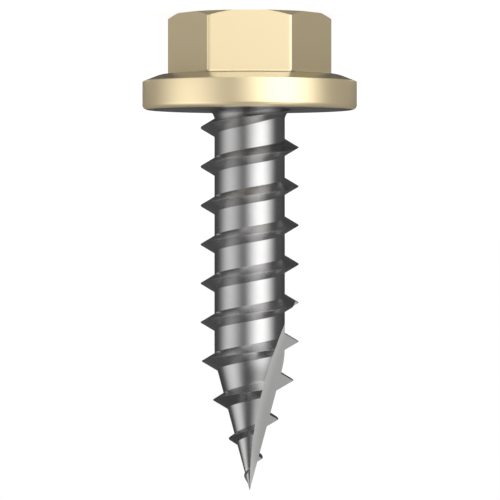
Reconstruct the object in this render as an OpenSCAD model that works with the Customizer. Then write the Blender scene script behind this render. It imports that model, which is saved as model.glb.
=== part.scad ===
// Flanged hex head screw with a coarse wood thread and a fluted, self-drilling point.
// It is one solid and stands on the flat top of its head, because its round flange would roll.
// Millimetres. +Z is up, from the head to the point, and the origin is under the middle of the head.

/* [Hex] */
// Width of the hex across its flats
across_flats = 9.3; // [8.4:0.1:10]
// Height of the hex above the flange
hex_h = 3.94; // [3:0.01:5]
// Slope of the chamfer round the hex's top, in degrees
chamfer_angle = 30; // [20:1:40]
// How far outside the flats the chamfer starts, so that the flats cut into its edge
chamfer_over = 0.12; // [0.04:0.02:0.3]
// Radius on the hex's six upright edges
hex_edge_r = 0.2; // [0.1:0.05:0.5]

/* [Flange] */
// Diameter of the flange
flange_d = 14; // [13:0.1:15]
// Height of the flange at the hex
flange_h = 2.3; // [2:0.05:3]
// Diameter of the level ring that the hex stands on
ring_d = 11.6; // [11:0.1:12]
// Slope of the flange's top outside that ring, in degrees
flange_slope = 21.5; // [10:0.5:30]
// Radius on the rim's lower edge
rim_edge_r = 0.3; // [0.1:0.05:0.6]

/* [Shank] */
// Length from under the head to the tip of the point
shank_l = 24.86; // [20:0.01:34]
// Diameter of the shank between the threads
core_d = 4.6; // [4:0.1:5]
// Radius of the fillet under the head
neck_r = 0.65; // [0.3:0.05:1]

/* [Thread] */
// Diameter over the thread's crest
thread_d = 6.4; // [5.8:0.1:7.2]
// Distance from one turn of the thread to the next
pitch = 2.54; // [2.2:0.02:3]
// Angle between the two sides of the thread, in degrees
thread_angle = 60; // [40:1:62]
// Width of the flat along the thread's crest
crest_w = 0.02; // [0.01:0.01:0.12]
// Where the thread leaves the tip, in degrees round the shank
thread_start = 64.5; // [0:0.5:90]
// Part of a turn over which the thread fades out as it runs into the head
fade_turn = 0.54; // [0.2:0.02:0.8]

/* [Point] */
// Full angle of the point's cone, in degrees
point_angle = 30; // [26:1:36]
// Full angle of the cone over the thread's crest at the point, in degrees
crest_cone_angle = 44; // [40:1:50]
// Radius that blends the point into the shank
point_blend_r = 6.4; // [2:0.2:10]
// Radius that blends the crest's cone into the full thread
crest_blend_r = 8.5; // [2:0.5:12]

/* [Flute] */
// Diameter of the cutter that mills the flute in the point
cutter_d = 54; // [40:1:70]
// Distance of the flute's flat face from the screw's axis
flute_off = 0.02; // [0.01:0.01:0.3]

/* [Hidden] */
$fn = 96;

// Steps round the shank in which the thread is swept
thread_steps = 48;
// Length of the bare cone at the very tip, where the thread has no height yet
tip_cone_l = 0.1;
// How far one solid runs into the next where they join
overlap = 0.5;
// How far the fillet under the head stands off the shank where it ends
neck_step = 0.01;
// How far past the flange's underside the thread would run before it has faded out
thread_run_on = 0.74;

core_r = core_d / 2;
thread_r = thread_d / 2;
flange_r = flange_d / 2;
cutter_r = cutter_d / 2;
flat_r = across_flats / 2;
head_top = shank_l + flange_h + hex_h;

thread_end = shank_l + thread_run_on;
join_z = shank_l + overlap;

// Radius at height z of a round point that rises as a cone and blends into a straight shank.
function point_radius(z, cone_angle, full_r, blend_r) =
    let (
        slope = cone_angle / 2,
        meet = full_r / tan(slope),
        reach = blend_r * tan(slope / 2)
    )
    z <= meet - reach * cos(slope) ? max(z, 0) * tan(slope) :
    z >= meet + reach ? full_r :
    full_r - blend_r + sqrt(blend_r ^ 2 - (meet + reach - z) ^ 2);

function core_radius(z) = point_radius(z, point_angle, core_r, point_blend_r);
function crest_cone(z) = point_radius(z, crest_cone_angle, thread_r, crest_blend_r);
function thread_fade(z) = max(0, min(1, (thread_end - z) / (fade_turn * pitch)));
function crest_radius(z) =
    core_radius(z) + (crest_cone(z) - core_radius(z)) * thread_fade(z);

// The thread's outline at one place round the shank, from the tip up. Each turn adds the foot, crest,
// crest and foot of its ridge, and one point half-way to the next turn.
row_count = 5;
first_turn = -2;
last_turn = ceil(join_z / pitch) + 1;
rows = (last_turn - first_turn + 1) * row_count;

// How far along the shank one side of a ridge reaches from its middle at z before it meets the core.
function foot_offset(z, side, trials = 4) =
    let (
        foot_z = z + side * (trials > 1 ? foot_offset(z, side, trials - 1) : 0),
        rise = max(0, crest_radius(z) - core_radius(foot_z))
    )
    crest_w / 2 + rise * tan(thread_angle / 2);

function step_angle(i) = (i + 0.5) * 360 / thread_steps;

function turn_z(turn, around) = pitch * (turn + (around - thread_start) / 360);

function row_offset(row, z) =
    [-foot_offset(z, -1), -crest_w / 2, crest_w / 2, foot_offset(z, 1), pitch / 2][row];

function row_z(i, j) =
    let (centre = turn_z(first_turn + floor(j / row_count), step_angle(i)))
    centre + row_offset(j % row_count, centre);

function skin_point(i, j) =
    let (
        around = step_angle(i),
        centre = turn_z(first_turn + floor(j / row_count), around),
        z = min(row_z(i, j), join_z),
        row = j % row_count,
        on_crest = row == 1 || row == 2,
        r = z == join_z || !on_crest ? core_radius(z) : max(crest_radius(centre), core_radius(z))
    )
    [r * cos(around), r * sin(around), z];

skin_points = [
    for (i = [0 : thread_steps - 1], j = [0 : rows - 1]) skin_point(i, j),
    [0, 0, 0]
];

// The lowest row at each step round the shank. The tip's cone spans what is below it.
low_rows = [
    for (i = [0 : thread_steps - 1])
        len([for (j = [0 : rows - 1]) if (row_z(i, j) < tip_cone_l) j])
];

// Past a full turn, a row carries on as the row one turn higher.
function skin_index(i, j) =
    let (
        step = i % thread_steps,
        row = i < thread_steps ? j : min(j + row_count, rows - 1)
    )
    step * rows + max(row, low_rows[step]);

function distinct(face) =
    let (a = skin_points[face[0]], b = skin_points[face[1]], c = skin_points[face[2]])
    a != b && b != c && c != a;

skin_faces = [
    for (i = [0 : thread_steps - 1], j = [0 : rows - 2])
        let (
            low = skin_index(i, j),
            high = skin_index(i, j + 1),
            next_high = skin_index(i + 1, j + 1),
            next_low = skin_index(i + 1, j)
        )
        for (face = [[low, high, next_high], [low, next_high, next_low]])
            if (distinct(face)) face,
    for (i = [0 : thread_steps - 1])
        [len(skin_points) - 1, skin_index(i, 0), skin_index((i + 1) % thread_steps, 0)],
    [for (i = [thread_steps - 1 : -1 : 0]) skin_index(i, rows - 1)]
];

module threaded_shank() {
    color("silver")
        polyhedron(points = skin_points, faces = skin_faces, convexity = 12);
}

// A hexagon with rounded corners, one of which lies on +X.
module rounded_hex() {
    side = (flat_r - hex_edge_r) / cos(30);
    for (i = [0 : 5]) {
        rotate(60 * i + 30)
            translate([0, -side / 2])
                square([flat_r, side]);
        rotate(60 * i)
            translate([side, 0])
                circle(r = hex_edge_r);
    }
}

// Half the section of everything that is round about the axis above the thread.
module flange_section() {
    rim_h = flange_h - (flange_r - ring_d / 2) * tan(flange_slope);
    neck_low = shank_l - neck_r + sqrt(2 * neck_r * neck_step - neck_step ^ 2);
    difference() {
        polygon([
            [0, shank_l],
            [flange_r, shank_l],
            [flange_r, shank_l + rim_h],
            [ring_d / 2, shank_l + flange_h],
            [0, shank_l + flange_h]
        ]);
        difference() {
            translate([flange_r - rim_edge_r, shank_l - overlap])
                square([overlap + rim_edge_r, overlap + rim_edge_r]);
            translate([flange_r - rim_edge_r, shank_l + rim_edge_r])
                circle(r = rim_edge_r);
        }
    }
    difference() {
        translate([0, neck_low])
            square([core_r + neck_r, shank_l + overlap - neck_low]);
        translate([core_r + neck_r, shank_l - neck_r])
            circle(r = neck_r);
    }
}

module head() {
    top_r = flat_r + chamfer_over;
    chamfer_drop = (flange_r - top_r) * tan(chamfer_angle);
    color("wheat") {
        rotate_extrude()
            flange_section();
        intersection() {
            translate([0, 0, shank_l + overlap])
                linear_extrude(head_top)
                    rounded_hex();
            rotate_extrude()
                polygon([
                    [0, shank_l],
                    [flange_r, shank_l],
                    [flange_r, head_top - chamfer_drop],
                    [top_r, head_top],
                    [0, head_top]
                ]);
        }
    }
}

// The disc of the milling cutter. Its rim meets the axis at the tip, and its flat side lies along the axis.
module flute_cutter() {
    translate([cutter_r, -flute_off, 0])
        rotate([90, 0, 0])
            cylinder(r = cutter_r, h = thread_d, $fn = 720);
}

module upright_screw() {
    difference() {
        union() {
            head();
            threaded_shank();
        }
        flute_cutter();
    }
}

// Everything above is modelled head up, with the tip at the origin.
module screw() {
    translate([0, 0, head_top])
        rotate([0, 180, 0])
            upright_screw();
}

screw();
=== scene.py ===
"""The flanged hex head screw as the photograph shows it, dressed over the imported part.

The screw is modelled head up in its own frame, in millimetres with the tip at the origin, and then stood on
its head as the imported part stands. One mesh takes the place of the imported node: a swept thread, a head built
ring by ring, and the flute milled out of both."""

import math

import bpy
from mathutils import Matrix, Vector


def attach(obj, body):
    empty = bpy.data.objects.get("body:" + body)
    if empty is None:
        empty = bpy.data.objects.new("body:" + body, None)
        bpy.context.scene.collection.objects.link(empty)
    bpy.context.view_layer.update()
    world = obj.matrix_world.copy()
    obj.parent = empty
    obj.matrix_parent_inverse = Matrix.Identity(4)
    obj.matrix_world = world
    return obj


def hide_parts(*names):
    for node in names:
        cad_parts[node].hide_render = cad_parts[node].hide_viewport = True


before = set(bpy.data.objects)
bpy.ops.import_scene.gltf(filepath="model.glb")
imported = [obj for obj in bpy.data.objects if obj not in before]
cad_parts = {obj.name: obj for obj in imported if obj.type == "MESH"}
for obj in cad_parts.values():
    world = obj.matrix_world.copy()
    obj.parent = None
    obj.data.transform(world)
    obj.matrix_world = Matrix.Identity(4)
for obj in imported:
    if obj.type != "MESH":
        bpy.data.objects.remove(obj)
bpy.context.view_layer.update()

MM = 0.001
WHITE = (1, 1, 1, 1)

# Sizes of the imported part, in millimetres and degrees
ACROSS_FLATS = 9.3
HEX_H = 3.94
CHAMFER_ANGLE = 30
CHAMFER_OVER = 0.12
HEX_EDGE_R = 0.2
FLANGE_R = 7
FLANGE_H = 2.3
RING_R = 5.8
FLANGE_SLOPE = 21.5
RIM_EDGE_R = 0.3
SHANK_L = 24.86
CORE_R = 2.3
NECK_R = 0.65
NECK_STEP = 0.01
THREAD_R = 3.2
PITCH = 2.54
THREAD_ANGLE = 60
THREAD_START = 64.5
FADE_TURN = 0.54
THREAD_RUN_ON = 0.74
POINT_ANGLE = 30
CREST_CONE_ANGLE = 44
POINT_BLEND_R = 6.4
CREST_BLEND_R = 8.5
CUTTER_R = 27
FLUTE_OFF = 0.02
OVERLAP = 0.5

FLAT_R = ACROSS_FLATS / 2
FLANGE_TOP = SHANK_L + FLANGE_H
HEAD_TOP = FLANGE_TOP + HEX_H

# Angles round the hex, from one corner to the next and from a corner to the middle of a flat
HEX_SIDES = 6
SIDE_TURN = 360 / HEX_SIDES
HALF_TURN = SIDE_TURN / 2

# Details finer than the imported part's: the thread's sharper crest, the shorter bare cone at the tip, the
# cove at the hex's foot, and the roundings of the rim's upper edge and of the ring's edge
CREST_W = 0.004
TIP_CONE_L = 0.05
COVE_R = 0.14
RIM_TOP_R = 0.055
RING_BLEND_R = 1.76

# How finely the thread is divided: steps round the shank, rows up a side of the ridge, rows between two
# ridges, and rows in a whole turn. The foot of a side is found in so many trials, and the thread is worked
# out for some spare turns at both ends, which are cut off.
THREAD_STEPS = 192
FLANK_ROWS = 4
ROOT_ROWS = 6
TURN_ROWS = 2 * (FLANK_ROWS + 1) + ROOT_ROWS - 1
FOOT_TRIALS = 4
SPARE_TURNS = 2

# How finely the head is divided: steps round it, and rows from the neck to the middle of its top
FLAT_STEPS = 40
CORNER_STEPS = 8
NECK_ROWS = 10
UNDER_ROWS = 6
RIM_EDGE_ROWS = 10
RIM_ROWS = 3
RIM_TOP_ROWS = 5
SLOPE_ROWS = 5
RING_ROWS = 8
COVE_ROWS = 6
WALL_ROWS = 3
CHAMFER_ROWS = 2
TOP_ROWS = 3

# The part of the cutter's disc that is built, as far as it can meet the screw
CUT_LOW = -1
CUT_HIGH = 14
CUT_OUT = 8
CUT_ROWS = 300

# Edges that turn by more than this angle stay sharp
SHARP_ANGLE = 28

# The two materials of the shank, by their place in its list
ROOT_INDEX = 0
RIDGE_INDEX = 1


def sin_deg(angle):
    return math.sin(math.radians(angle))


def cos_deg(angle):
    return math.cos(math.radians(angle))


def tan_deg(angle):
    return math.tan(math.radians(angle))


def mix(a, b, share):
    return a + (b - a) * share


def clamp(value, low, high):
    return max(low, min(high, value))


# The threaded shank

def point_radius(z, cone_angle, full_r, blend_r):
    """Radius at height z of a round point that rises as a cone and blends into a straight shank."""
    slope = cone_angle / 2
    meet = full_r / tan_deg(slope)
    reach = blend_r * tan_deg(slope / 2)
    if z <= meet - reach * cos_deg(slope):
        return max(z, 0) * tan_deg(slope)
    if z >= meet + reach:
        return full_r
    return full_r - blend_r + math.sqrt(blend_r**2 - (meet + reach - z) ** 2)


def core_radius(z):
    return point_radius(z, POINT_ANGLE, CORE_R, POINT_BLEND_R)


def crest_radius(z):
    cone = point_radius(z, CREST_CONE_ANGLE, THREAD_R, CREST_BLEND_R)
    fade = clamp((SHANK_L + THREAD_RUN_ON - z) / (FADE_TURN * PITCH), 0, 1)
    return mix(core_radius(z), cone, fade)


def foot_offset(centre, side):
    """How far along the shank one side of a ridge reaches from its middle before it meets the core."""
    offset = 0
    for _ in range(FOOT_TRIALS):
        rise = max(0, crest_radius(centre) - core_radius(centre + side * offset))
        offset = CREST_W / 2 + rise * tan_deg(THREAD_ANGLE / 2)
    return offset


def ridge_rows(centre):
    """Height and radius of one turn's rows at one place round the shank, from foot to foot over the crest."""
    crest_r = max(crest_radius(centre), core_radius(centre))
    rows = []
    for side in (-1, 1):
        foot_z = centre + side * foot_offset(centre, side)
        crest_z = centre + side * CREST_W / 2
        flank = []
        for k in range(FLANK_ROWS + 1):
            share = k / FLANK_ROWS
            flank.append((mix(foot_z, crest_z, share), mix(core_radius(foot_z), crest_r, share)))
        rows += flank if side < 0 else flank[::-1]
    return rows


def thread_column(around, last_turn):
    """All rows of the thread at one angle round the shank, from the tip up."""
    ridges = []
    for turn in range(-SPARE_TURNS, last_turn + 1):
        ridges.append(ridge_rows(PITCH * (turn + (around - THREAD_START) / 360)))
    column = []
    for ridge, above in zip(ridges, ridges[1:]):
        column += ridge
        for k in range(1, ROOT_ROWS):
            z = mix(ridge[-1][0], above[0][0], k / ROOT_ROWS)
            column.append((z, core_radius(z)))
    return column


def on_ridge(row):
    """Whether the faces above this row lie on a ridge, and not on the shank between two ridges."""
    return row % TURN_ROWS <= 2 * FLANK_ROWS


def threaded_shank():
    """Corners, faces and each face's material index on the shank, closed at the tip and in the head."""
    top_z = SHANK_L + OVERLAP
    last_turn = math.ceil(top_z / PITCH) + SPARE_TURNS
    points = [(0, 0, 0), (0, 0, top_z)]
    tip, top = 0, 1
    columns = []
    for i in range(THREAD_STEPS):
        around = 360 * i / THREAD_STEPS
        column = thread_column(around, last_turn)
        low = next(j for j, row in enumerate(column) if row[0] >= TIP_CONE_L)
        high = next(j for j, row in enumerate(column) if row[0] >= top_z)
        column[high] = (top_z, core_radius(top_z))
        columns.append((len(points), low, high))
        for z, r in column[low:high + 1]:
            points.append((r * cos_deg(around), r * sin_deg(around), z))

    def index(i, j):
        """Number of the corner at step i and row j. Past a full turn, a row carries on one turn higher."""
        first, low, high = columns[i % THREAD_STEPS]
        row = j if i < THREAD_STEPS else j + TURN_ROWS
        return first + clamp(row, low, high) - low

    most_rows = max(column[2] for column in columns) + TURN_ROWS
    faces = []
    indices = []
    for i in range(THREAD_STEPS):
        for j in range(most_rows):
            corners = [index(i, j), index(i + 1, j), index(i + 1, j + 1), index(i, j + 1)]
            face = list(dict.fromkeys(corners))
            if len(face) > 2:
                faces.append(face)
                indices.append(RIDGE_INDEX if on_ridge(j) else ROOT_INDEX)
        nearby = (i + 1) % THREAD_STEPS
        faces.append([tip, index(nearby, 0), index(i, 0)])
        faces.append([top, index(i, most_rows), index(nearby, most_rows)])
        indices += [ROOT_INDEX, ROOT_INDEX]
    return points, faces, indices


# The head

def hex_radius(around, off):
    """Distance from the axis to a hexagon with rounded corners that stands off by so much from the hex."""
    from_corner = abs((around + HALF_TURN) % SIDE_TURN - HALF_TURN)
    side_half = (FLAT_R - HEX_EDGE_R) * tan_deg(HALF_TURN)
    from_flat = HALF_TURN - from_corner
    if (FLAT_R + off) * tan_deg(from_flat) <= side_half:
        return (FLAT_R + off) / cos_deg(from_flat)
    centre = (FLAT_R - HEX_EDGE_R) / cos_deg(HALF_TURN)
    across = centre * sin_deg(from_corner)
    return centre * cos_deg(from_corner) + math.sqrt((HEX_EDGE_R + off) ** 2 - across**2)


def head_angles():
    """Angles round the axis, close together at the hex's rounded corners."""
    centre = (FLAT_R - HEX_EDGE_R) / cos_deg(HALF_TURN)
    corner = []
    for k in range(CORNER_STEPS + 1):
        turn = mix(-HALF_TURN, HALF_TURN, k / CORNER_STEPS)
        reach = centre + HEX_EDGE_R * cos_deg(turn)
        corner.append(math.degrees(math.atan2(HEX_EDGE_R * sin_deg(turn), reach)))
    gap = SIDE_TURN - 2 * corner[-1]
    angles = []
    for side in range(HEX_SIDES):
        start = SIDE_TURN * side
        angles += [start + a for a in corner]
        angles += [start + corner[-1] + gap * k / FLAT_STEPS for k in range(1, FLAT_STEPS)]
    return angles


def arc(centre_r, centre_z, radius, start, end, steps):
    """Points of an arc as (distance from the axis, height). Angle 0 points away from the axis and 90 up."""
    turns = [mix(start, end, k / steps) for k in range(steps + 1)]
    return [(centre_r + radius * cos_deg(a), centre_z + radius * sin_deg(a)) for a in turns]


def flange_top(r):
    """Height of the flange's top at r, over the blend between its level ring and its slope."""
    start = RING_R - RING_BLEND_R * tan_deg(FLANGE_SLOPE / 2)
    if r <= start:
        return FLANGE_TOP
    if r >= start + RING_BLEND_R * sin_deg(FLANGE_SLOPE):
        return FLANGE_TOP - (r - RING_R) * tan_deg(FLANGE_SLOPE)
    return FLANGE_TOP - (RING_BLEND_R - math.sqrt(RING_BLEND_R**2 - (r - start) ** 2))


def flange_profile():
    """The round part of the head, from the axis inside the shank to the end of the slope by the hex."""
    neck_low = SHANK_L - NECK_R + math.sqrt(2 * NECK_R * NECK_STEP - NECK_STEP**2)
    neck_start = math.degrees(math.asin((SHANK_L - NECK_R - neck_low) / -NECK_R))
    rim_top = FLANGE_TOP - (FLANGE_R - RING_R) * tan_deg(FLANGE_SLOPE)
    reach = RIM_TOP_R * tan_deg((90 - FLANGE_SLOPE) / 2)
    slope_end = RING_R + RING_BLEND_R * tan_deg(FLANGE_SLOPE / 2)
    slope_start = FLANGE_R - reach * cos_deg(FLANGE_SLOPE)
    profile = [(0, neck_low), (CORE_R / 2, neck_low)]
    profile += arc(CORE_R + NECK_R, SHANK_L - NECK_R, NECK_R, 180 - neck_start, 90, NECK_ROWS)
    for k in range(1, UNDER_ROWS):
        profile.append((mix(CORE_R + NECK_R, FLANGE_R - RIM_EDGE_R, k / UNDER_ROWS), SHANK_L))
    profile += arc(FLANGE_R - RIM_EDGE_R, SHANK_L + RIM_EDGE_R, RIM_EDGE_R, -90, 0, RIM_EDGE_ROWS)
    for k in range(1, RIM_ROWS):
        profile.append((FLANGE_R, mix(SHANK_L + RIM_EDGE_R, rim_top - reach, k / RIM_ROWS)))
    profile += arc(FLANGE_R - RIM_TOP_R, rim_top - reach, RIM_TOP_R, 0, 90 - FLANGE_SLOPE, RIM_TOP_ROWS)
    for k in range(1, SLOPE_ROWS):
        r = mix(slope_start, slope_end, k / SLOPE_ROWS)
        profile.append((r, flange_top(r)))
    return profile, slope_end


def head_column(around, profile, slope_end):
    """The head's rows at one angle round the axis, as (distance from the axis, height)."""
    column = list(profile)
    cove_out = hex_radius(around, COVE_R)
    for k in range(RING_ROWS + 1):
        r = mix(slope_end, cove_out, k / RING_ROWS)
        column.append((r, flange_top(r)))
    for k in range(1, COVE_ROWS + 1):
        turn = 90 * k / COVE_ROWS
        r = hex_radius(around, COVE_R * (1 - sin_deg(turn)))
        column.append((r, flange_top(r) + COVE_R * (1 - cos_deg(turn))))
    wall_r = hex_radius(around, 0)
    wall_low = column[-1][1]
    top_r = min(FLAT_R + CHAMFER_OVER, wall_r)
    chamfer_z = HEAD_TOP - (wall_r - top_r) * tan_deg(CHAMFER_ANGLE)
    for k in range(1, WALL_ROWS + 1):
        column.append((wall_r, mix(wall_low, chamfer_z, k / WALL_ROWS)))
    for k in range(1, CHAMFER_ROWS + 1):
        r = mix(wall_r, top_r, k / CHAMFER_ROWS)
        column.append((r, HEAD_TOP - (r - top_r) * tan_deg(CHAMFER_ANGLE)))
    for k in reversed(range(TOP_ROWS)):
        column.append((top_r * k / TOP_ROWS, HEAD_TOP))
    return column


def head():
    """Corners and faces of the head, closed inside the shank."""
    profile, slope_end = flange_profile()
    angles = head_angles()
    columns = [head_column(a, profile, slope_end) for a in angles]
    rows = len(columns[0])
    points = [(0, 0, columns[0][0][1]), (0, 0, HEAD_TOP)]
    low, high, first = 0, 1, 2
    for around, column in zip(angles, columns):
        points += [(r * cos_deg(around), r * sin_deg(around), z) for r, z in column[1:-1]]

    def index(i, j):
        """Number of the corner at step i and row j. The first row and the last are one corner each."""
        if j == 0:
            return low
        if j == rows - 1:
            return high
        return first + (i % len(angles)) * (rows - 2) + j - 1

    faces = []
    for i in range(len(angles)):
        for j in range(rows - 1):
            corners = [index(i, j), index(i + 1, j), index(i + 1, j + 1), index(i, j + 1)]
            faces.append(list(dict.fromkeys(corners)))
    return points, faces


# The flute

def cutter():
    """Corners and faces of the part of the milling cutter's disc that meets the screw."""
    outline = []
    for k in range(CUT_ROWS + 1):
        z = mix(CUT_LOW, CUT_HIGH, k / CUT_ROWS)
        outline.append((CUTTER_R - math.sqrt(CUTTER_R**2 - z * z), z))
    outline += [(CUT_OUT, CUT_HIGH), (CUT_OUT, CUT_LOW)]
    count = len(outline)
    points = [(x, -FLUTE_OFF, z) for x, z in outline] + [(x, -CUT_OUT, z) for x, z in outline]
    faces = [list(range(count)), list(range(2 * count - 1, count - 1, -1))]
    for k in range(count):
        after = (k + 1) % count
        faces.append([after, k, count + k, count + after])
    return points, faces


# Meshes and their joins

def link(name, data):
    """A new object in the scene with this mesh or camera."""
    made = bpy.data.objects.new(name, data)
    bpy.context.scene.collection.objects.link(made)
    return made


def mesh_object(name, points, faces, materials, indices=None):
    """A new object from corners in millimetres. The indices give each face its material."""
    mesh = bpy.data.meshes.new(name)
    mesh.from_pydata([Vector(p) * MM for p in points], [], faces)
    for material in materials:
        mesh.materials.append(material)
    if indices:
        mesh.polygons.foreach_set("material_index", indices)
    mesh.update()
    return link(name, mesh)


def join(target, tool, operation):
    """Joins or cuts target with tool, and deletes the tool."""
    change = target.modifiers.new(operation.lower(), "BOOLEAN")
    change.operation = operation
    change.solver = "MANIFOLD"
    change.material_mode = "TRANSFER"
    change.object = tool
    graph = bpy.context.evaluated_depsgraph_get()
    mesh = bpy.data.meshes.new_from_object(target.evaluated_get(graph))
    target.modifiers.remove(change)
    target.data = mesh
    bpy.data.objects.remove(tool)


# Materials

# Bare steel: the shank, which is mottled by so much lighter and darker, and the thread's sides, whose lighter
# colour is painted light standing in for the light that bounces between the ridges. It grows brighter between
# these two heights above the tip
STEEL_COLOUR = (0.453, 0.449, 0.448, 1)
STEEL_MOTTLE = 0.08
STEEL_ROUGHNESS = (0.2, 0.3)
LIT_RIDGE_COLOUR = (0.643, 0.638, 0.637, 1)
LIT_RIDGE_START = 5.5
LIT_RIDGE_FULL = 8

# The flute's face, which is darkened by painted shade between these two distances from the root of the cut
MILLED_COLOUR = (0.42, 0.42, 0.415, 1)
MILLED_ROUGHNESS = 0.3
MILLED_SHADE_COLOUR = (0.355, 0.355, 0.35, 1)
MILLED_SHADE_START = 0.1
MILLED_SHADE_FULL = 0.6

# Paint: its colour on the head; a paler colour on the flange's slope, painted to stand in for the light that it
# reflects; a painted reflection of the hex's faces on that slope before the flats in front and behind; and
# painted shade in the fold above it. It is less like metal on the head than on the slope.
PAINT_COLOUR = (0.965, 0.803, 0.508, 1)
SLOPE_REFLECTION_COLOUR = (0.895, 0.814, 0.6, 1)
FACE_REFLECTION_COLOUR = (0.84, 0.84, 0.765, 1)
FOLD_SHADE_COLOUR = (0.25, 0.2, 0.12, 1)
PAINT_METALLIC = 0.665
SLOPE_METALLIC = 0.85
PAINT_ROUGHNESS = (0.27, 0.33)
BARE_ROUGHNESS = 0.25

# Bands of the paint: the height of the middle of the slope and of the fold, and the middle of the flats,
# each with how far from there the band has ended and how far it is still full
SLOPE_BAND = (FLANGE_TOP - 0.2, 0.28, 0.2)
FOLD_SHADE_BAND = (FLANGE_TOP - 0.06, 0.06, 0.03)
FLATS_BAND = (0, 3.1, 2.6)
# How much of the fold's painted shade shows beside those flats
FOLD_SHADE_ASIDE = 0.25

# The paint's lower edge. There is paint from where the rim rounds off, and on the underside outside a circle
# of this radius, shifted away from the viewer and widened sideways. The line moves in by this many times the
# height above the underside. It is ragged and has a soft width.
PAINT_SHIFT = 0.6
PAINT_LINE_R = 6.2
PAINT_SQUEEZE = 0.9
PAINT_CLIMB = 2
PAINT_RAGGED = 0.3
PAINT_FEATHER = 0.04

# Fineness of each pattern, in repeats to a metre, and its detail
ROLLING_MARKS = (5000, 2)
PLATING_PATCHES = (1100, 3)
MOTTLED_PATCHES = (700, 3)
MILLING_MARKS = (6000, 2)
RAGGED_LINE = (2500, 3)
PAINT_PATCHES = (1500, 3)
PAINT_GRAIN = (2200, 2)

# Depth of the marks in millimetres, and the scales that draw them out round the shank or along the flute
ROLLING_DEPTH = 0.0015
MILLING_DEPTH = 0.001
PAINT_DEPTH = 0.0008
ROUND_SHANK = (0.15, 0.15, 1)
ALONG_FLUTE = (1, 1, 0.1)


class Nodes:
    """Short calls that add nodes to one tree and link them."""

    def __init__(self, tree):
        self.tree = tree

    def add(self, kind, **settings):
        node = self.tree.nodes.new(kind)
        for key, value in settings.items():
            setattr(node, key, value)
        return node

    def feed(self, socket, value):
        if isinstance(value, bpy.types.NodeSocket):
            self.tree.links.new(value, socket)
        else:
            socket.default_value = value

    def math(self, operation, *values):
        node = self.add("ShaderNodeMath", operation=operation)
        for socket, value in zip(node.inputs, values):
            self.feed(socket, value)
        return node.outputs[0]

    def hypot(self, a, b):
        """The distance to a place that is a one way and b across it."""
        return self.math("SQRT", self.math("ADD", self.math("POWER", a, 2), self.math("POWER", b, 2)))

    def smooth(self, value, start, end):
        """0 at start and 1 at end, with a soft run between them."""
        node = self.add("ShaderNodeMapRange", interpolation_type="SMOOTHSTEP")
        for key, given in (("Value", value), ("From Min", start), ("From Max", end)):
            self.feed(node.inputs[key], given)
        return node.outputs["Result"]

    def band(self, value, middle, outer, inner):
        """1 up to inner from the middle and 0 beyond outer, all in millimetres."""
        away = self.math("ABSOLUTE", self.math("SUBTRACT", value, middle * MM))
        return self.smooth(away, outer * MM, inner * MM)

    def blend(self, share, a, b):
        """Goes from the colour or number a to b as share goes from 0 to 1."""
        kind = "RGBA" if isinstance(a, tuple) or isinstance(b, tuple) else "FLOAT"
        node = self.add("ShaderNodeMix", data_type=kind)
        slots = {"RGBA": (6, 7, 2), "FLOAT": (2, 3, 0)}[kind]
        self.feed(node.inputs[0], share)
        self.feed(node.inputs[slots[0]], a)
        self.feed(node.inputs[slots[1]], b)
        return node.outputs[slots[2]]

    def noise(self, place, fineness, detail):
        node = self.add("ShaderNodeTexNoise")
        self.feed(node.inputs["Vector"], place)
        node.inputs["Scale"].default_value = fineness
        node.inputs["Detail"].default_value = detail
        return node.outputs["Fac"]

    def stretched(self, place, scales):
        """The place with its axes scaled. A pattern is drawn out along an axis whose scale is small."""
        node = self.add("ShaderNodeMapping")
        self.feed(node.inputs["Vector"], place)
        node.inputs["Scale"].default_value = scales
        return node.outputs[0]

    def axes(self, place):
        """The place's x, y and z."""
        node = self.add("ShaderNodeSeparateXYZ")
        self.feed(node.inputs[0], place)
        return node.outputs


def coat(name):
    """A new material with its shader, its nodes and the place on the screw in its own frame."""
    material = bpy.data.materials.new(name)
    material.use_nodes = True
    n = Nodes(material.node_tree)
    shader = material.node_tree.nodes["Principled BSDF"]
    place = n.add("ShaderNodeTexCoord").outputs["Object"]
    return material, shader, n, place


def bump(n, shader, height, depth):
    """Raises the surface by height, which runs from 0 to 1, times the depth in millimetres."""
    node = n.add("ShaderNodeBump")
    node.inputs["Strength"].default_value = 1
    node.inputs["Distance"].default_value = depth * MM
    n.feed(node.inputs["Height"], height)
    n.feed(shader.inputs["Normal"], node.outputs["Normal"])


def rolled(n, shader, place):
    """Faint marks that the rolling dies leave round the shank, and slightly uneven plating."""
    marks = n.noise(n.stretched(place, ROUND_SHANK), *ROLLING_MARKS)
    bump(n, shader, marks, ROLLING_DEPTH)
    n.feed(shader.inputs["Roughness"], n.blend(n.noise(place, *PLATING_PATCHES), *STEEL_ROUGHNESS))
    shader.inputs["Metallic"].default_value = 1


def shaded(colour, factor):
    """A lighter or darker colour."""
    return tuple(factor * value for value in colour[:3]) + (1,)


def shank_steel():
    """Bright zinc plated steel."""
    material, shader, n, place = coat("shank")
    rolled(n, shader, place)
    dark = shaded(STEEL_COLOUR, 1 - STEEL_MOTTLE)
    light = shaded(STEEL_COLOUR, 1 + STEEL_MOTTLE)
    n.feed(shader.inputs["Base Color"], n.blend(n.noise(place, *MOTTLED_PATCHES), dark, light))
    return material


def lit_ridge_steel():
    """The thread's sides, brighter than the shank except at the point: painted light for the light between the
    ridges.
    """
    material, shader, n, place = coat("ridge")
    rolled(n, shader, place)
    past_point = n.smooth(n.axes(place)[2], LIT_RIDGE_START * MM, LIT_RIDGE_FULL * MM)
    n.feed(shader.inputs["Base Color"], n.blend(past_point, STEEL_COLOUR, LIT_RIDGE_COLOUR))
    return material


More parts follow.
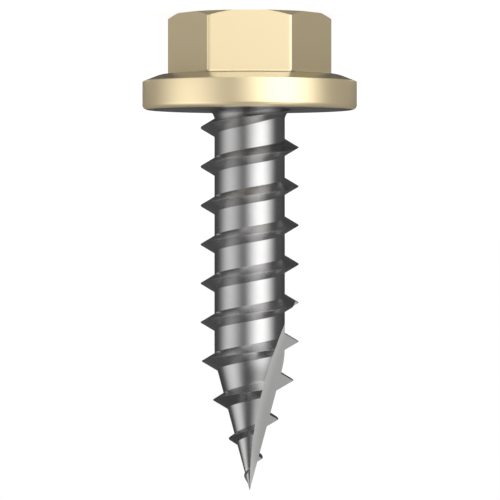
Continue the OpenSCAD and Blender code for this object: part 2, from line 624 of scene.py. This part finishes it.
def milled():
    """The flute's face, fresh from the cutter. Painted shade darkens it away from the root of the cut."""
    material, shader, n, place = coat("milled")
    x, _, z = n.axes(place)
    root = n.math("DIVIDE", n.math("MULTIPLY", z, z), 2 * CUTTER_R * MM)
    milled_shade = n.smooth(n.math("SUBTRACT", x, root), MILLED_SHADE_START * MM, MILLED_SHADE_FULL * MM)
    n.feed(shader.inputs["Base Color"], n.blend(milled_shade, MILLED_COLOUR, MILLED_SHADE_COLOUR))
    marks = n.noise(n.stretched(place, ALONG_FLUTE), *MILLING_MARKS)
    bump(n, shader, marks, MILLING_DEPTH)
    shader.inputs["Metallic"].default_value = 1
    shader.inputs["Roughness"].default_value = MILLED_ROUGHNESS
    return material


def paint():
    """Pearly cream paint on the head. It ends in a ragged line on the rim's lower edge, over bare steel."""
    material, shader, n, place = coat("paint")
    x, y, z = n.axes(place)

    # Where there is paint
    past_edge = n.math("SUBTRACT", n.hypot(x, y), (FLANGE_R - RIM_EDGE_R) * MM)
    back = n.math("SUBTRACT", y, PAINT_SHIFT * MM)
    past_line = n.math("SUBTRACT", n.hypot(n.math("MULTIPLY", x, PAINT_SQUEEZE), back), PAINT_LINE_R * MM)
    climb = n.math("MULTIPLY", n.math("SUBTRACT", z, SHANK_L * MM), PAINT_CLIMB)
    reach = n.math("ADD", n.math("MAXIMUM", past_edge, past_line), climb)
    wave = n.math("SUBTRACT", n.noise(place, *RAGGED_LINE), 0.5)
    ragged = n.math("MULTIPLY", wave, PAINT_RAGGED * MM)
    painted = n.smooth(n.math("ADD", reach, ragged), 0, PAINT_FEATHER * MM)

    # What colour it has there: painted reflections on the slope and painted shade in the fold
    on_slope = n.band(z, *SLOPE_BAND)
    by_flat = n.band(x, *FLATS_BAND)
    slope_reflection = n.blend(by_flat, SLOPE_REFLECTION_COLOUR, FACE_REFLECTION_COLOUR)
    fold_shade = n.math("MULTIPLY", n.band(z, *FOLD_SHADE_BAND), n.blend(by_flat, FOLD_SHADE_ASIDE, 1.0))
    colour = n.blend(fold_shade, n.blend(on_slope, PAINT_COLOUR, slope_reflection), FOLD_SHADE_COLOUR)

    metallic = n.blend(on_slope, PAINT_METALLIC, SLOPE_METALLIC)
    roughness = n.blend(n.noise(place, *PAINT_PATCHES), *PAINT_ROUGHNESS)
    n.feed(shader.inputs["Base Color"], n.blend(painted, STEEL_COLOUR, colour))
    n.feed(shader.inputs["Metallic"], n.blend(painted, 1.0, metallic))
    n.feed(shader.inputs["Roughness"], n.blend(painted, BARE_ROUGHNESS, roughness))
    bump(n, shader, n.noise(place, *PAINT_GRAIN), PAINT_DEPTH)
    return material


# Light, floor and camera

# Angles of the lights are in degrees. The turn goes round the screw from the camera's side, and rises to the
# right of the photograph. The height is above the level, towards the screw's point.
# Each lamp has its turn, the reach where it is full and where it has ended, its strength, how fast it narrows
# above and below the level, and the lean of its top.
LAMPS = (
    (36, 2, 61.5, 2.3, 1.35, 0.2, 0.25),
    (-67, 2, 59, 0.94, 0.5, 0.9, 0),
)
# The depth below the level where the lamps start to dim and where they have dimmed, and what is left then
LAMP_DIM_START = 13
LAMP_DIM_END = 22
LAMP_DIMMED = 0.38
# Each patch has the turn and the height of its middle, how far it reaches aside and how far up and down,
# and its strength
PATCHES = (
    (48, 58, 45, 28, 0.9),
    (-72, 22, 48, 28, 0.36),
    (42, -32, 34, 26, 1),
    (0, -60, 75, 28, 1.65),
    (0, -9, 26, 12, 0.14),
    (-146, -14, 18, 10, 1.1),
    (146, -14, 18, 10, 1.1),
)
# Faint light from all round: its strength in front, up to the first turn, and behind, past the second
FRONT_LIGHT = 0.13
BACK_LIGHT = 0.07
FRONT_TURN = 120
BACK_TURN = 145

# Floor: its height and half its side in millimetres, its colour, and its glow
FLOOR_Z = -0.01
FLOOR_HALF = 5000
FLOOR_COLOUR = (0.2, 0.2, 0.2, 1)
FLOOR_GLOW = 0.85

# Camera: its place in millimetres, with the height on the screw that it looks at, its sensor and lens, and
# the nearest and farthest that it sees, in metres
CAMERA_X = -0.023
CAMERA_AWAY = 244
CAMERA_LEVEL = 15.7
CAMERA_SENSOR = 36
CAMERA_LENS = 269.0
CAMERA_CLIP = (0.01, 20)


def lamp(n, turn, height, centre, inner, outer, strength, shrink_above, shrink_below, lean):
    """A soft upright light. It narrows and fades away from the level, and its top leans to one side."""
    above = n.math("MAXIMUM", height, 0)
    below = n.math("MAXIMUM", n.math("MULTIPLY", height, -1), 0)
    middle = n.math("ADD", n.math("MULTIPLY", above, lean), centre)
    aside = n.math("WRAP", n.math("SUBTRACT", turn, middle), 180, -180)
    rise = n.math("ADD", n.math("MULTIPLY", above, shrink_above), n.math("MULTIPLY", below, shrink_below))
    full = n.math("MULTIPLY", n.smooth(n.hypot(aside, rise), outer, inner), strength)
    low = n.smooth(below, LAMP_DIM_START, LAMP_DIM_END)
    return n.math("MULTIPLY", full, n.blend(low, 1.0, LAMP_DIMMED))


def patch(n, turn, height, centre, level, reach_aside, reach_up, strength):
    """A soft round light with its middle at the turn centre and the height level."""
    aside = n.math("WRAP", n.math("SUBTRACT", turn, centre), 180, -180)
    across = n.math("POWER", n.math("DIVIDE", aside, reach_aside), 2)
    rise = n.math("POWER", n.math("DIVIDE", n.math("SUBTRACT", height, level), reach_up), 2)
    return n.math("MULTIPLY", n.smooth(n.math("ADD", across, rise), 1, 0), strength)


def background(n, strength):
    node = n.add("ShaderNodeBackground")
    node.inputs["Color"].default_value = WHITE
    n.feed(node.inputs["Strength"], strength)
    return node.outputs[0]


def studio():
    """A plain studio: white where the camera looks, and soft broad lights in what the metal reflects."""
    world = bpy.data.worlds.new("studio")
    world.use_nodes = True
    bpy.context.scene.world = world
    world.node_tree.nodes.clear()
    n = Nodes(world.node_tree)
    x, y, z = n.axes(n.add("ShaderNodeTexCoord").outputs["Generated"])
    turn = n.math("DEGREES", n.math("ARCTAN2", n.math("MULTIPLY", x, -1), n.math("MULTIPLY", y, -1)))
    height = n.math("DEGREES", n.math("ARCSINE", z))
    behind = n.smooth(n.math("ABSOLUTE", turn), FRONT_TURN, BACK_TURN)
    total = n.blend(behind, FRONT_LIGHT, BACK_LIGHT)
    for settings in LAMPS:
        total = n.math("ADD", total, lamp(n, turn, height, *settings))
    for settings in PATCHES:
        total = n.math("ADD", total, patch(n, turn, height, *settings))
    seen = n.add("ShaderNodeMixShader")
    n.feed(seen.inputs[0], n.add("ShaderNodeLightPath").outputs["Is Glossy Ray"])
    n.feed(seen.inputs[1], background(n, 1))
    n.feed(seen.inputs[2], background(n, total))
    n.feed(n.add("ShaderNodeOutputWorld").inputs["Surface"], seen.outputs[0])


def floor():
    """A pale floor just under the head, which can be looked through from below."""
    material = bpy.data.materials.new("floor")
    material.use_nodes = True
    shader = material.node_tree.nodes["Principled BSDF"]
    n = Nodes(material.node_tree)
    facing_down = n.add("ShaderNodeNewGeometry").outputs["Backfacing"]
    n.feed(shader.inputs["Alpha"], n.math("SUBTRACT", 1, facing_down))
    shader.inputs["Base Color"].default_value = FLOOR_COLOUR
    shader.inputs["Specular IOR Level"].default_value = 0
    shader.inputs["Emission Color"].default_value = WHITE
    shader.inputs["Emission Strength"].default_value = FLOOR_GLOW
    corners = []
    for x, y in ((-1, -1), (1, -1), (1, 1), (-1, 1)):
        corners.append((x * FLOOR_HALF, y * FLOOR_HALF, FLOOR_Z))
    made = mesh_object("floor", corners, [(0, 1, 2, 3)], [material])
    made.visible_glossy = False
    made.visible_diffuse = False


def camera():
    """Level with the screw's middle and upside down, because the photograph shows the head at the top."""
    data = bpy.data.cameras.new("camera")
    data.sensor_width = CAMERA_SENSOR
    data.lens = CAMERA_LENS
    data.clip_start, data.clip_end = CAMERA_CLIP
    made = link("camera", data)
    made.location = Vector((CAMERA_X, -CAMERA_AWAY, HEAD_TOP - CAMERA_LEVEL)) * MM
    made.rotation_euler = (math.radians(90), math.radians(180), 0)
    bpy.context.scene.camera = made


points, faces, indices = threaded_shank()
screw = mesh_object("flanged_screw", points, faces, [shank_steel(), lit_ridge_steel()], indices)
join(screw, mesh_object("head", *head(), [paint()]), "UNION")
join(screw, mesh_object("cutter", *cutter(), [milled()]), "DIFFERENCE")
screw.data.polygons.foreach_set("use_smooth", [True] * len(screw.data.polygons))
screw.data.set_sharp_from_angle(angle=math.radians(SHARP_ANGLE))
screw.matrix_world = Matrix.Translation((0, 0, HEAD_TOP * MM)) @ Matrix.Rotation(math.pi, 4, "Y")
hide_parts("screw")
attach(screw, "root")

studio()
floor()
camera()
bpy.context.scene.view_settings.view_transform = "Standard"
